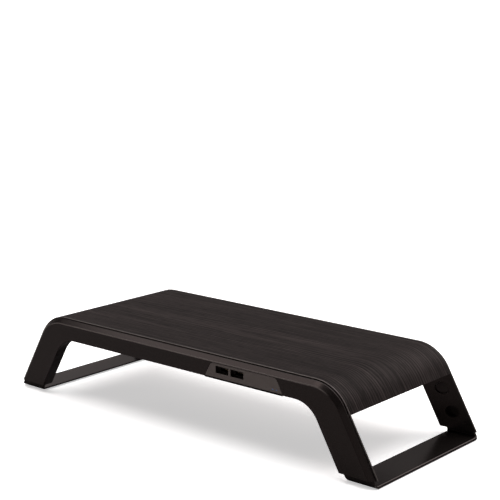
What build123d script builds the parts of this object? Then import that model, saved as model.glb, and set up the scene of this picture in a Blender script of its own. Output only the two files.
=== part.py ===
from build123d import *
import os
from math import cos, radians, sin, sqrt, tan

# Monitor riser stand: a wood-topped arch on two slanted legs. Each end stands on a foot frame,
# a bent strip whose two posts telescope into the legs and latch with oval push buttons.
# Millimetres. +X runs along the stand, -Y is the front, +Z is up, the desk is z = 0.
# Depths called v are measured inwards from the front face (or, mirrored, from the rear face).
# On a leg, s is measured inwards from its outer line and t up along the leg from the desk.

os.makedirs("parts", exist_ok=True)

# overall shape
depth = 245.0
height = 119.8
slant = 30.0
outer_x_at_desk = 327.0
shoulder_radius = 55.0
arch_radius = 40.0
leg_width = 45.0
arch_top = 90.0
sleeve_bottom = 11.2
skirt_bottom = 84.0

# front and rear frames
frame_depth = 17.5
outer_leg_depth = 10.2
chamfer_in = 7.6
chamfer_back = 7.4
groove_start = 5.4
groove_end = 8.2
groove_sink = 1.7
rail_skin = 2.6
pocket_bottom = 92.4
pocket_top = 112.2
front_pockets = [(-218, -150), (-147, -80), (-77, -2), (1, 45), (188, 218)]
rear_pockets = [(-218, -132), (-129, -43), (-40, 40), (43, 129), (132, 218)]

# deck
deck_thickness = 4.0
deck_start = 10.6
deck_gap = 0.2
skin_start = 14.0
skin_thickness = 0.8

# foot frames
strip = 3.0
post_outer_s = 4.6
post_inner_s = 42.6
post_front = 5.1
post_top_t = 104.0
slot_gap = 0.2
slot_top_t = 106.0
bend_radius = 6.0
pad_thickness = 1.0
pad_length = 36.0
pad_width = 34.0

# latch
button_s = 20.0
button_t = 84.0
leg_travel = 34.0
hole_width = 20.5
hole_height = 15.5
button_gap = 0.35
button_base = 7.6
skin_web = 1.0
button_recess = 1.3
cup_depth = 2.4
cup_wall = 0.6

# hub
hub_left = 51.0
hub_right = 182.0
hub_slope = 11.5
hub_top = 110.5
hub_corner = 8.0
hub_panel = 2.4
hub_start = 2.8
hub_length = 59.2
hub_wall = 1.6
tray_top = 113.0
bay_top = 113.2
bay_gap = 2.0
inlet_left = 105.0
inlet_right = 113.0
inlet_height = 3.2
port_x = (81.2, 106.5)
port_z = 102.6
window_width = 21.8
window_height = 9.4
window_depth = 4.8
shell_width = 14.4
shell_height = 7.0
shell_length = 14.0
shell_wall = 0.4
board_thickness = 1.6
light_x = (165.2, 171.5)
light_z = 95.0
light_radius = 0.7

# ribs, cover and screws
rib = 2.5
rib_bottom = 92.6
cover_bottom = 90.4
cover_thickness = 2.0
inner_start = 17.7
rib_x = (-230.0, -172.0, -115.0, -57.0, 0.0, 57.0, 115.0, 190.0, 230.0)
rib_v = (85.0, 160.0)
rib_reach = 262.0
cover_reach = 275.0
screw_radius = 1.25
screw_head = 2.8
boss_radius = 3.5
cover_boss_top = 108.0
cover_bore_top = 104.0
cover_screw_top = 102.0
cover_screw_x = (-230.0, -115.0, 0.0, 115.0, 230.0)
rail_screw_x = (-200.0, -110.0, -20.0, 200.0)
rail_screw_z = 102.0
rail_screw_tip = 8.0
rail_bore_tip = 6.0

c = cos(radians(slant))
k = sin(radians(slant))
slope = tan(radians(slant))
port_board_top = port_z - shell_height / 2
bay_left = hub_left - 3.0
bay_right = hub_right + 3.0
hub_back = hub_start + hub_length
bay_back = hub_back + bay_gap
window_left = 96.0
window_right = 122.0
window_back = 100.0


def y_at(v):
    return -depth / 2 + v


def prism(face, v0, v1):
    """Extrude a sketch of the XZ plane from depth v0 to depth v1."""
    return Pos(0, y_at(v0), 0) * extrude(face, amount=v1 - v0, dir=(0, 1, 0))


def outline(offset, bottom):
    """The riser's outer profile, moved inwards by offset and cut off level at bottom."""
    top = height - offset
    foot_x = outer_x_at_desk - offset / c - bottom * slope
    head_x = outer_x_at_desk - offset / c - top * slope
    corners = [(-foot_x, bottom), (-head_x, top), (head_x, top), (foot_x, bottom)]
    face = make_face(Plane.XZ * Polyline(*corners, close=True))
    heads = [p for p in face.vertices() if p.Z > top - 0.01]
    return fillet(heads, shoulder_radius - offset)


def arch(bottom):
    """The opening under the riser, between the legs."""
    foot_x = outer_x_at_desk - leg_width / c - bottom * slope
    head_x = outer_x_at_desk - leg_width / c - arch_top * slope
    corners = [(-foot_x, bottom), (-head_x, arch_top), (head_x, arch_top), (foot_x, bottom)]
    face = make_face(Plane.XZ * Polyline(*corners, close=True))
    heads = [p for p in face.vertices() if p.Z > arch_top - 0.01]
    return fillet(heads, arch_radius)


def leg_point(s, t):
    return (outer_x_at_desk - s * c - t * k, -s * k + t * c)


def leg_block(s0, s1, t0, t1, v0, v1):
    """A slanted block on the right leg."""
    corners = [leg_point(s0, t0), leg_point(s1, t0), leg_point(s1, t1), leg_point(s0, t1)]
    return prism(make_face(Plane.XZ * Polyline(*corners, close=True)), v0, v1)


def back_face(s):
    """How deep the leg is at s: its inner edge is thicker than its outer one."""
    return outer_leg_depth + (frame_depth - outer_leg_depth) * s / leg_width


def behind_leg(shift):
    """Everything behind the right leg's sloping back face, moved by shift."""
    s0, s1 = -12.0, 70.0
    t0, t1 = -20.0, 130.0
    x, z = leg_point(0, t0)
    section = Plane(origin=(x, 0, z), x_dir=(-c, 0, -k), z_dir=(-k, 0, c))
    points = [(s0, back_face(s0) + shift), (s1, back_face(s1) + shift), (s1, 40.0), (s0, 40.0)]
    local = [(s, -y_at(v)) for s, v in points]
    face = section * make_face(Polyline(*local, close=True))
    return extrude(face, amount=t1 - t0, dir=(-k, 0, c))


def oval(width, tall, t=button_t):
    x, z = leg_point(button_s, t)
    return Plane.XZ * (Pos(x, z) * Ellipse(width / 2, tall / 2))


def oval_path(width, tall):
    """The strip that an oval sweeps on its way down the leg."""
    a, b = width / 2, tall / 2
    reach = sqrt((a * c) ** 2 + (b * k) ** 2)
    side_x, side_z = a * a * c / reach, b * b * k / reach
    high_x, high_z = leg_point(button_s, button_t)
    low_x, low_z = leg_point(button_s, button_t - leg_travel)
    corners = [
        (high_x - side_x, high_z - side_z),
        (low_x - side_x, low_z - side_z),
        (low_x + side_x, low_z + side_z),
        (high_x + side_x, high_z + side_z),
    ]
    band = make_face(Plane.XZ * Polyline(*corners, close=True))
    return [oval(width, tall), oval(width, tall, button_t - leg_travel), band]


def box(x0, x1, v0, v1, z0, z1):
    corner = Pos(x0, y_at(v0), z0)
    return corner * Box(x1 - x0, v1 - v0, z1 - z0, align=(Align.MIN, Align.MIN, Align.MIN))


def rod_y(x, z, v0, v1, radius):
    return Pos(x, y_at(v0), z) * Rot(-90, 0, 0) * Cylinder(
        radius, v1 - v0, align=(Align.CENTER, Align.CENTER, Align.MIN)
    )


def rod_z(x, v, z0, z1, radius):
    return Pos(x, y_at(v), z0) * Cylinder(
        radius, z1 - z0, align=(Align.CENTER, Align.CENTER, Align.MIN)
    )


def both_ends(shape):
    return [shape, mirror(shape, about=Plane.YZ)]


def sleeve_cuts():
    """What is cut out of the right leg for the post, the button and its cup."""
    cuts = [
        leg_block(
            post_outer_s - slot_gap,
            post_inner_s + slot_gap,
            -10.0,
            slot_top_t,
            post_front - slot_gap,
            post_front + strip + slot_gap,
        )
    ]
    hole = hole_width, hole_height
    for t in (button_t, button_t - leg_travel):
        cuts.append(prism(oval(*hole, t), post_front, frame_depth + 1))
    for face in oval_path(*hole):
        cuts.append(prism(face, post_front + strip, frame_depth + 1) - behind_leg(-skin_web))
    room = hole_width + 4.8, hole_height + 4.8
    for face in oval_path(*room):
        cuts.append(prism(face, post_front - slot_gap - cup_depth - 0.1, post_front))
    return cuts


def plain_frame():
    """An arch-shaped frame with its bevel, bead, deck seat and two leg sleeves."""
    body = prism(outline(0, sleeve_bottom), 0, frame_depth)
    front = body.faces().sort_by(Axis.Y)[0]
    rim = [e for e in front.edges() if e.center().Z > sleeve_bottom + 0.1]
    body = chamfer(rim, chamfer_in, chamfer_back, reference=front)
    body -= prism(arch(sleeve_bottom - 5), -1, frame_depth + 1)
    line = outline(0, 0) - outline(groove_sink, -5)
    body -= prism(line, groove_start, groove_end)
    seat = outline(-1, skirt_bottom - deck_gap) - outline(deck_thickness + deck_gap, 0)
    body -= prism(seat, outer_leg_depth, frame_depth + 1)
    below_deck = box(200, 340, -1, frame_depth + 2, 0, skirt_bottom - deck_gap)
    for cut in both_ends(behind_leg(0) & below_deck):
        body -= cut
    for part in sleeve_cuts():
        for cut in both_ends(part):
            body -= cut
    return body


def rail_pockets(spans):
    low, high = pocket_bottom, pocket_top
    return [box(x0, x1, rail_skin, frame_depth + 1, low, high) for x0, x1 in spans]


def rail_bosses(xs):
    bosses = []
    for x in xs:
        post = rod_y(x, rail_screw_z, rail_skin, frame_depth, boss_radius)
        bosses.append(post - rod_y(x, rail_screw_z, rail_bore_tip, frame_depth + 1, screw_radius))
    return bosses


def hub_outline(gap):
    left, right = hub_left - gap, hub_right + gap
    top = hub_top + gap
    corners = [
        (left, arch_top),
        (left + hub_slope, top),
        (right - hub_slope, top),
        (right, arch_top),
    ]
    face = make_face(Plane.XZ * Polyline(*corners, close=True))
    heads = [p for p in face.vertices() if p.Z > top - 0.01]
    return fillet(heads, hub_corner)


def front_frame():
    body = plain_frame()
    for cut in rail_pockets(front_pockets):
        body -= cut
    body -= box(bay_left, bay_right, hub_panel, frame_depth + 1, arch_top - 1, bay_top)
    body -= prism(hub_outline(0.15), -1, hub_panel + 1)
    for boss in rail_bosses(rail_screw_x):
        body += boss
    return body


def rear_frame():
    body = plain_frame()
    for cut in rail_pockets(rear_pockets):
        body -= cut
    for boss in rail_bosses([-x for x in rail_screw_x]):
        body += boss
    return mirror(body, about=Plane.XZ)


def wood_skin():
    ring = outline(0, skirt_bottom) - outline(skin_thickness, 0)
    return prism(ring, skin_start, depth - skin_start)


def deck_shell():
    ring = outline(0, skirt_bottom) - outline(deck_thickness, 0)
    return prism(ring, deck_start, depth - deck_start) - wood_skin()


def rib_grid():
    """The moulded lattice that carries the deck between the two frames."""
    low, high = rib_bottom, height - deck_thickness
    front, back = inner_start, depth - inner_start
    grid = box(-rib_reach, rib_reach, front, front + rib, low, high)
    grid += box(-rib_reach, rib_reach, back - rib, back, low, high)
    for v in rib_v:
        grid += box(-rib_reach, rib_reach, v - rib / 2, v + rib / 2, low, high)
    for x in rib_x:
        grid += box(x - rib / 2, x + rib / 2, front, back, low, high)
    for x, v in cover_screw_places():
        grid += rod_z(x, v, low, cover_boss_top, boss_radius)
    grid &= prism(outline(deck_thickness + deck_gap, 50), front, back)
    for x, v in cover_screw_places():
        grid -= rod_z(x, v, low - 1, cover_bore_top, screw_radius)
    for x in rail_screw_x:
        grid -= rod_y(x, rail_screw_z, front - 1, front + rib + 1, 1.5)
        grid -= rod_y(-x, rail_screw_z, back - rib - 1, back + 1, 1.5)
    grid -= box(bay_left, bay_right, 0, bay_back, low - 1, bay_top)
    grid -= box(window_left, window_right, bay_back - 1, window_back, low - 1, bay_top)
    return grid


def cover_screw_places():
    """Under-cover screws, leaving out the one that would meet the hub."""
    places = []
    for x in cover_screw_x:
        for v in (30.0, depth / 2, depth - 30.0):
            if not (bay_left < x < bay_right and v < bay_back):
                places.append((x, v))
    return places


def under_cover():
    front, back = inner_start, depth - inner_start
    low, high = cover_bottom, cover_bottom + cover_thickness
    plate = box(-cover_reach, cover_reach, front, back, low, high)
    plate &= prism(outline(deck_thickness + deck_gap, 50), front, back)
    plate -= box(bay_left, bay_right, 0, bay_back, low - 1, rib_bottom)
    plate -= box(window_left, window_right, bay_back - 1, window_back, low - 1, rib_bottom)
    for x, v in cover_screw_places():
        plate -= rod_z(x, v, low - 1, rib_bottom, 1.6)
    return plate


def cover_screws():
    screws = []
    for x, v in cover_screw_places():
        head = rod_z(x, v, cover_bottom - 1.4, cover_bottom, screw_head)
        screws.append(head + rod_z(x, v, cover_bottom, cover_screw_top, screw_radius))
    return Compound(screws)


def rail_screws():
    screws = []
    for x in rail_screw_x:
        seat = inner_start + rib
        head = rod_y(x, rail_screw_z, seat, seat + 2, screw_head)
        screw = head + rod_y(x, rail_screw_z, rail_screw_tip, seat, screw_radius)
        screws.append(screw)
        screws.append(screw.rotate(Axis.Z, 180))
    return Compound(screws)


def foot_frame():
    """The right-hand foot: a flat strip on the desk with a post bent up at each end."""
    reach = depth / 2 - post_front
    tall = 110.0
    outside = Pos(0, pad_thickness + tall / 2) * Rectangle(2 * reach, tall)
    inside = Pos(0, pad_thickness + strip + tall / 2) * Rectangle(2 * (reach - strip), tall)
    outside = fillet(outside.vertices().group_by(Axis.Y)[0], bend_radius)
    inside = fillet(inside.vertices().group_by(Axis.Y)[0], bend_radius - strip)
    band = extrude(Plane.YZ * (outside - inside), amount=420, dir=(1, 0, 0))
    band &= leg_block(post_outer_s, post_inner_s, 0, post_top_t, 0, depth)
    window = oval(hole_width - 0.2, hole_height - 0.2)
    for v in (post_front - 1, depth - post_front - strip - 1):
        band -= prism(window, v, v + strip + 2)
    return band


def foot_pad():
    x, _ = leg_point((post_outer_s + post_inner_s) / 2, 0)
    middle = x - (post_outer_s + post_inner_s) / 2 * k * slope
    centre = Pos(middle, y_at(post_front + bend_radius + 4 + pad_width / 2))
    outline_face = centre * RectangleRounded(pad_length, pad_width, 5)
    return extrude(outline_face, amount=pad_thickness, dir=(0, 0, 1))


def button():
    size = hole_width - 2 * button_gap, hole_height - 2 * button_gap
    return prism(oval(*size), button_base, frame_depth) - behind_leg(-button_recess)


def button_cup():
    floor = post_front - cup_depth
    outer = prism(oval(hole_width + 3.8, hole_height + 3.8), floor, post_front)
    inner = prism(oval(hole_width + 1.0, hole_height + 1.0), floor + cup_wall, post_front + 1)
    return outer - inner


def button_spring():
    """A bowed leaf that stands on the cup's floor and pushes the button out."""
    low = post_front - cup_depth + cup_wall
    high = button_base - 0.05
    leaf = 0.35
    x, z = leg_point(button_s, button_t)
    outer = ThreePointArc((x - 8, y_at(low + leaf)), (x, y_at(high)), (x + 8, y_at(low + leaf)))
    inner = ThreePointArc((x - 8, y_at(low)), (x, y_at(high - leaf)), (x + 8, y_at(low)))
    ends = [Line(outer @ 0, inner @ 0), Line(outer @ 1, inner @ 1)]
    return Pos(0, 0, z - 3) * extrude(make_face([outer, inner, *ends]), amount=6, dir=(0, 0, 1))


def port_window(x, width, tall):
    return Plane.XZ * (Pos(x, port_z) * Rectangle(width, tall))


def hub_fascia():
    """The flush panel on the front rail, with a sunk well round each port."""
    panel = prism(hub_outline(0), 0, hub_panel)
    end = window_depth + 1.2
    for x in port_x:
        panel += prism(port_window(x, window_width + 2.2, window_height + 2.2), hub_panel, end)
    for x in port_x:
        panel -= prism(port_window(x, window_width, window_height), -1, window_depth)
        panel -= prism(port_window(x, shell_width + 0.5, shell_height + 0.5), -1, end + 1)
    for x in light_x:
        panel -= rod_y(x, light_z, -1, end, light_radius + 0.1)
    return panel


def hub_tray():
    front, back = hub_start, hub_back
    left, right = bay_left + bay_gap, bay_right - bay_gap
    top = tray_top - hub_wall
    tray = box(left, right, front, back, arch_top, top)
    tray -= box(
        left + hub_wall, right - hub_wall, front + hub_wall, back - hub_wall, arch_top + 2, top + 1
    )
    for x in port_x:
        opening = port_window(x, window_width + 2.8, window_height + 2.8)
        tray -= prism(opening, front - 1, front + hub_wall + 1)
    for x in light_x:
        tray -= rod_y(x, light_z, front - 1, front + 3, light_radius + 0.1)
    for x, v in board_screw_places():
        tray += rod_z(x, v, arch_top + 2, port_board_top - board_thickness, 3.0)
    for x, v in board_screw_places():
        tray -= rod_z(x, v, arch_top + 3, port_board_top, 1.0)
    x0, x1, z0, z1 = inlet_opening(0.3)
    tray -= box(x0, x1, back - hub_wall - 1, back + 1, z0, z1)
    return tray


def board_screw_places():
    return [(60.0, 28.0), (60.0, 54.0), (172.0, 28.0), (172.0, 54.0)]


def inlet_opening(gap):
    low, high = port_board_top - gap, port_board_top + inlet_height + gap
    return inlet_left - gap, inlet_right + gap, low, high


def hub_lid():
    left, right = bay_left + bay_gap, bay_right - bay_gap
    return box(left, right, hub_start, hub_back, tray_top - hub_wall, tray_top)


def hub_board():
    board = box(56, 176, 7.5, 58, port_board_top - board_thickness, port_board_top)
    for x, v in board_screw_places():
        board -= rod_z(x, v, port_board_top - 3, port_board_top + 1, 1.2)
    return board


def hub_screws():
    screws = []
    for x, v in board_screw_places():
        head = rod_z(x, v, port_board_top, port_board_top + 1.4, 2.0)
        screws.append(head + rod_z(x, v, arch_top + 4, port_board_top, 1.0))
    return Compound(screws)


def port_shell(x):
    start = window_depth + 0.2
    outer = prism(port_window(x, shell_width, shell_height), start, start + shell_length)
    hollow = port_window(x, shell_width - 2 * shell_wall, shell_height - 2 * shell_wall)
    return outer - prism(hollow, start - 1, start + shell_length + 1)


def port_insulator(x):
    start = window_depth + 0.2
    back = start + shell_length
    filler = port_window(x, shell_width - 2 * shell_wall, shell_height - 2 * shell_wall)
    body = prism(filler, back - 3.5, back)
    return body + box(x - 5.6, x + 5.6, start + 2, back - 3, port_z + 0.5, port_z + 2.3)


def port_contacts():
    """Four flat contacts under each tongue."""
    start = window_depth + 2.8
    contacts = []
    for x in port_x:
        for place in (-3.5, -1.0, 1.0, 3.5):
            middle = x + place
            contacts.append(
                box(middle - 0.5, middle + 0.5, start, start + 7, port_z + 0.2, port_z + 0.5)
            )
    return Compound(contacts)


def board_components():
    top = port_board_top
    chip = box(110, 117, 34, 41, top, top + 0.9)
    crystal = box(124, 128, 34, 39, top, top + 1.2)
    regulator = box(140, 146, 30, 36, top, top + 1.6)
    cans = [rod_z(x, 46, top, top + 5.4, 2.5) for x in (126, 134, 142)]
    return Compound([chip, crystal, regulator, *cans])


def inlet_socket():
    x0, x1, z0, z1 = inlet_opening(0)
    socket = box(x0, x1, hub_back - 6.6, hub_back - 0.2, z0, z1)
    return socket - box(x0 + 0.5, x1 - 0.5, hub_back - 5.6, hub_back, z0 + 0.5, z1 - 0.5)


def light_pipes():
    return Compound([rod_y(x, light_z, 0.1, 8.8, light_radius) for x in light_x])


def status_lights():
    low, high = light_z - 0.7, port_board_top - board_thickness
    return Compound([box(x - 0.8, x + 0.8, 9.0, 10.6, low, high) for x in light_x])


parts = {
    "front_frame": front_frame(),
    "rear_frame": rear_frame(),
    "deck_shell": deck_shell(),
    "wood_skin": wood_skin(),
    "rib_grid": rib_grid(),
    "under_cover": under_cover(),
    "cover_screws": cover_screws(),
    "rail_screws": rail_screws(),
    "hub_fascia": hub_fascia(),
    "hub_tray": hub_tray(),
    "hub_lid": hub_lid(),
    "hub_board": hub_board(),
    "hub_screws": hub_screws(),
    "left_port_shell": port_shell(port_x[0]),
    "right_port_shell": port_shell(port_x[1]),
    "left_port_insulator": port_insulator(port_x[0]),
    "right_port_insulator": port_insulator(port_x[1]),
    "port_contacts": port_contacts(),
    "board_components": board_components(),
    "inlet_socket": inlet_socket(),
    "light_pipes": light_pipes(),
    "status_lights": status_lights(),
    "right_foot_frame": foot_frame(),
    "left_foot_frame": mirror(foot_frame(), about=Plane.YZ),
}

corner_parts = {
    "foot_pad": foot_pad(),
    "button": button(),
    "button_cup": button_cup(),
    "button_spring": button_spring(),
}

for name, front_right in corner_parts.items():
    parts["front_right_" + name] = front_right
    parts["rear_right_" + name] = mirror(front_right, about=Plane.XZ)
    parts["front_left_" + name] = mirror(front_right, about=Plane.YZ)
    parts["rear_left_" + name] = front_right.rotate(Axis.Z, 180)

for name, shape in parts.items():
    export_step(shape, "parts/" + name + ".step")
    print(name, round(shape.volume))
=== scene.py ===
import math
import bmesh
import bpy
import numpy as np
from mathutils import Matrix, Vector


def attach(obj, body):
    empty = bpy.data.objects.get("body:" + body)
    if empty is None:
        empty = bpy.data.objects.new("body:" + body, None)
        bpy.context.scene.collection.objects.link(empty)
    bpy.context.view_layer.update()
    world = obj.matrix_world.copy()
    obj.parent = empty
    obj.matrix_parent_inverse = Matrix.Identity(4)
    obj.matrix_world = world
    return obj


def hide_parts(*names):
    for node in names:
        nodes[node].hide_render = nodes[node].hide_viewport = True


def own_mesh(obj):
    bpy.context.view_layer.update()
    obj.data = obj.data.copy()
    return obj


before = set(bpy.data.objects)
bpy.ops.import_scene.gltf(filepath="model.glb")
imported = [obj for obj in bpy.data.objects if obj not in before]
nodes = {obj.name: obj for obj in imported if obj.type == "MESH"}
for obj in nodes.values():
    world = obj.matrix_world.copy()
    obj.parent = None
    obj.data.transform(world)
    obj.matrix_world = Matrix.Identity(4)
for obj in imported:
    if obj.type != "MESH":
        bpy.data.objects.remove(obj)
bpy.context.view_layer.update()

mm = 0.001

# millimetres, the same numbers as the CAD
riser = {
    "depth": 245.0,
    "height": 119.8,
    "slant": 30.0,
    "outerXAtDesk": 327.0,
    "shoulderRadius": 55.0,
    "archRadius": 40.0,
    "archTop": 90.0,
    "legWidth": 45.0,
    "sleeveBottom": 11.2,
    "skirtBottom": 84.0,
    "frameDepth": 17.5,
    "outerLegDepth": 10.2,
    "arcSteps": 28,
}
lean = math.radians(riser["slant"])
cosLean, sinLean, tanLean = math.cos(lean), math.sin(lean), math.tan(lean)
frontY = -riser["depth"] / 2
print("frame loaded:", len(nodes), "CAD nodes")


def legLineX(s, z):
    return riser["outerXAtDesk"] - s / cosLean - z * tanLean


def legPoint(s, t):
    # s runs inwards from the leg's outer line, t up along the leg from the desk
    return riser["outerXAtDesk"] - s * cosLean - t * sinLean, -s * sinLean + t * cosLean


def backFace(s):
    # the leg gets thicker in a straight line from its outer edge to its inner edge
    grow = (riser["frameDepth"] - riser["outerLegDepth"]) / riser["legWidth"]
    return riser["outerLegDepth"] + grow * s


def easeCorners(corners, ease, steps=5, beyond=1.25):
    # corner P becomes P + a(1-t)^2 + b t^2, with a and b the two sides cut to length ease,
    # and one more point a little beyond each end, which keeps the flat faces flat
    corners, ease = np.asarray(corners, float), np.asarray(ease, float)
    middle = corners[1:-1]
    back, ahead = corners[:-2] - middle, corners[2:] - middle
    back = back / np.maximum(np.linalg.norm(back, axis=1, keepdims=True), 1e-9)
    ahead = ahead / np.maximum(np.linalg.norm(ahead, axis=1, keepdims=True), 1e-9)
    t = np.linspace(0, 1, steps)
    backWeight = np.concatenate([[beyond], (1 - t) ** 2, [0]])[None, :, None]
    aheadWeight = np.concatenate([[0], t**2, [beyond]])[None, :, None]
    reach = ease[:, None, None]
    bends = middle[:, None] + reach * (backWeight * back[:, None] + aheadWeight * ahead[:, None])
    return np.concatenate([corners[:1], bends.reshape(-1, 2), corners[-1:]])


def easeLoop(corners, ease, steps=5):
    # the same for a closed outline
    corners = np.asarray(corners, float)
    around = np.concatenate([corners[-1:], corners, corners[:1]])
    return easeCorners(around, ease, steps)[1:-1]


def insetLoop(loop, distance):
    # every point moves inwards along the mitre of its two edges
    edge = np.roll(loop, -1, 0) - loop
    edge = edge / np.maximum(np.linalg.norm(edge, axis=1, keepdims=True), 1e-9)
    turn = np.sum(loop[:, 0] * np.roll(loop[:, 1], -1) - np.roll(loop[:, 0], -1) * loop[:, 1])
    normal = np.stack([-edge[:, 1], edge[:, 0]], 1) * np.sign(turn)
    mitre = normal + np.roll(normal, 1, 0)
    mitre = mitre / np.maximum(np.sum(mitre * mitre, 1, keepdims=True) / 2, 0.4)
    return loop + distance * mitre


def oval(x, z, width, tall, count=72):
    # x + a cos(angle), z + b sin(angle)
    angle = np.linspace(0, 2 * np.pi, count, endpoint=False)
    return np.stack([x + width / 2 * np.cos(angle), z + tall / 2 * np.sin(angle)], 1)


def alongY(loop, depths):
    # an outline of the XZ plane repeated at each depth behind the front face
    loop, depths = np.asarray(loop, float), np.asarray(depths, float)
    rings = np.zeros((len(depths), len(loop), 3))
    rings[:, :, 0], rings[:, :, 2] = loop[:, 0], loop[:, 1]
    rings[:, :, 1] = frontY + depths[:, None]
    return rings


def block(x0, x1, v0, v1, z0, z1):
    return alongY([(x0, z0), (x1, z0), (x1, z1), (x0, z1)], [v0, v1])


def shellFromRings(name, rings, uv=None, mirrorX=False, mirrorY=False, paintedHighlightAndShade=None):
    # rings[i, k] is point k of the section at station i: quads join neighbours, and a face
    # closes each end, then doubles are merged and the normals turned outwards
    rings = np.array(rings, float)
    if mirrorX:
        rings[:, :, 0] *= -1
    if mirrorY:
        rings[:, :, 1] *= -1
    stations, count = rings.shape[:2]
    index = np.arange(stations * count).reshape(stations, count)
    here, there = index[:-1], index[1:]
    quads = np.stack([here, np.roll(here, -1, 1), np.roll(there, -1, 1), there], -1)
    faces = quads.reshape(-1, 4).tolist() + [index[0, ::-1].tolist(), index[-1].tolist()]
    mesh = bpy.data.meshes.new(name)
    mesh.from_pydata((rings.reshape(-1, 3) * mm).tolist(), [], faces)
    if uv is not None:
        corner = np.zeros(len(mesh.loops), np.int32)
        mesh.loops.foreach_get("vertex_index", corner)
        layer = mesh.uv_layers.new(name="grain")
        layer.data.foreach_set("uv", uv.reshape(-1, 2)[corner].astype(np.float32).ravel())
    # a mesh attribute: above 0 a painted highlight, below 0 painted shade
    if paintedHighlightAndShade is not None:
        layer = mesh.attributes.new("paintedHighlightAndShade", "FLOAT", "POINT")
        layer.data.foreach_set("value", np.ascontiguousarray(paintedHighlightAndShade, np.float32).ravel())
    tidyMesh(mesh)
    piece = bpy.data.objects.new(name, mesh)
    bpy.context.scene.collection.objects.link(piece)
    return piece


def tidyMesh(mesh, sharpAngle=32):
    work = bmesh.new()
    work.from_mesh(mesh)
    bmesh.ops.remove_doubles(work, verts=work.verts, dist=2e-6)
    bmesh.ops.dissolve_degenerate(work, edges=work.edges, dist=1e-6)
    bmesh.ops.recalc_face_normals(work, faces=work.faces)
    work.to_mesh(mesh)
    work.free()
    mesh.shade_smooth()
    mesh.set_sharp_from_angle(angle=math.radians(sharpAngle))


def shape(piece, tools, operation="DIFFERENCE"):
    # cuts the tools from a piece or joins them to it, then drops them
    for tool in tools:
        step = piece.modifiers.new(tool.name, "BOOLEAN")
        step.object, step.operation, step.solver = tool, operation, "EXACT"
    bpy.context.view_layer.update()
    seen = piece.evaluated_get(bpy.context.evaluated_depsgraph_get())
    made = bpy.data.meshes.new_from_object(seen)
    piece.modifiers.clear()
    old, piece.data = piece.data, made
    bpy.data.meshes.remove(old)
    for tool in tools:
        bpy.data.objects.remove(tool)
    tidyMesh(piece.data)
    piece.data.name = piece.name


def place(piece, body, material, slotName, *cadNodes):
    piece.data.materials.clear()
    piece.data.materials.append(material)
    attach(piece, body)
    if cadNodes:
        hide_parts(*cadNodes)


# finishes

class Recipe:
    # a material's nodes, with short ways to add and link them
    def __init__(self, name):
        self.material = bpy.data.materials.new(name)
        self.material.use_nodes = True
        self.tree = self.material.node_tree
        self.shader = self.tree.nodes["Principled BSDF"]
        self.coords = self.tree.nodes.new("ShaderNodeTexCoord").outputs["Object"]

    def link(self, source, target):
        self.tree.links.new(source, target)

    def add(self, kind, **settings):
        node = self.tree.nodes.new(kind)
        for key, value in settings.items():
            setattr(node, key, value)
        return node

    def stretched(self, scale, source=None, turn=(0, 0, 0), move=(0, 0, 0)):
        node = self.add("ShaderNodeMapping")
        node.inputs["Scale"].default_value = scale
        node.inputs["Rotation"].default_value = turn
        node.inputs["Location"].default_value = move
        self.link(source or self.coords, node.inputs["Vector"])
        return node.outputs["Vector"]

    def noise(self, vector, scale, detail=2.0, roughness=0.5, distortion=0.0):
        node = self.add("ShaderNodeTexNoise")
        self.link(vector, node.inputs["Vector"])
        node.inputs["Scale"].default_value = scale
        node.inputs["Detail"].default_value = detail
        node.inputs["Roughness"].default_value = roughness
        node.inputs["Distortion"].default_value = distortion
        return node.outputs["Fac"]

    def maths(self, operation, first, second=0.0, third=0.0, clamp=False):
        node = self.add("ShaderNodeMath", operation=operation, use_clamp=clamp)
        for socket, value in zip(node.inputs, (first, second, third)):
            if isinstance(value, (int, float)):
                socket.default_value = value
            else:
                self.link(value, socket)
        return node.outputs[0]

    def spread(self, value, low, high, newLow, newHigh):
        node = self.add("ShaderNodeMapRange")
        self.link(value, node.inputs["Value"])
        for key, number in zip(("From Min", "From Max", "To Min", "To Max"), (low, high, newLow, newHigh)):
            node.inputs[key].default_value = number
        return node.outputs["Result"]

    def tint(self, value, low, high):
        # the colour goes from low to high as the value goes from 0 to 1
        node = self.add("ShaderNodeMix", data_type="RGBA")
        self.link(value, node.inputs["Factor"])
        for socket, colour in ((node.inputs["A"], low), (node.inputs["B"], high)):
            if isinstance(colour, bpy.types.NodeSocket):
                self.link(colour, socket)
            else:
                socket.default_value = (*colour, 1)
        return node.outputs["Result"]

    def addPaintedHighlightAndShade(self, look, colour, gloss, cloud):
        # where the attribute is 1, edges get a painted highlight, paler and a little uneven;
        # where it is -1 the surface gets painted shade, darker, and is rougher
        paintedHighlightAndShade = self.add("ShaderNodeAttribute", attribute_name="paintedHighlightAndShade").outputs["Fac"]
        pale = self.maths("MULTIPLY", paintedHighlightAndShade, self.spread(cloud, 0.3, 0.7, 0.75, 1.0), clamp=True)
        roughAndShaded = self.maths("MULTIPLY", paintedHighlightAndShade, -1.0, clamp=True)
        colour = self.tint(roughAndShaded, colour, look["paintedShadeColour"])
        return self.tint(pale, colour, look["paintedHighlightColour"]), self.maths("MULTIPLY_ADD", roughAndShaded, 0.4, gloss)

    def bump(self, height, strength, distance):
        node = self.add("ShaderNodeBump")
        node.inputs["Strength"].default_value = strength
        node.inputs["Distance"].default_value = distance
        self.link(height, node.inputs["Height"])
        self.link(node.outputs["Normal"], self.shader.inputs["Normal"])

    def set(self, **values):
        names = {"metallic": "Metallic", "specular": "Specular IOR Level", "coat": "Coat Weight",
                 "coatRoughness": "Coat Roughness", "glow": "Emission Strength"}
        for key, value in values.items():
            self.shader.inputs[names[key]].default_value = value


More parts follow.
